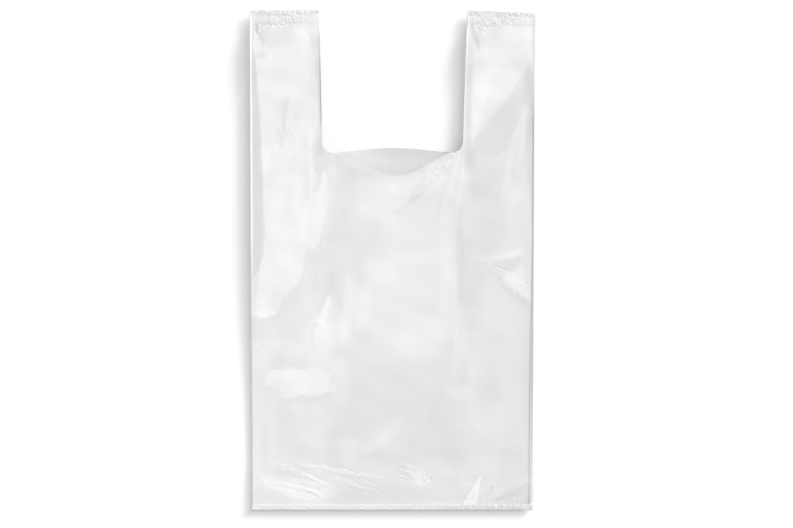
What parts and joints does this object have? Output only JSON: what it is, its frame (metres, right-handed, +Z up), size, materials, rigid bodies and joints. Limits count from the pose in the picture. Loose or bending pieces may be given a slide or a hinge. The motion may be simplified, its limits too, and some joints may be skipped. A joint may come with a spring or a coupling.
{
  "type": "plastic carrier bag",
  "caption": "Vest-style carrier bag of thin white film, lying flat, with side gussets, a welded bottom and loop handles beside a cut-out mouth.",
  "frame": {"origin": "on the surface that the bag lies on, under the middle of the flat bag", "axes": "+X to the right across the bag, +Y from the bottom weld to the handle tops, +Z up out of the front panel"},
  "size_m": [0.3044, 0.533, 0.0118],
  "materials": {
    "white_film": "satin"
  },
  "bodies": {
    "root": {"carrier_bag": "white_film"}
  },
  "joints": []
}
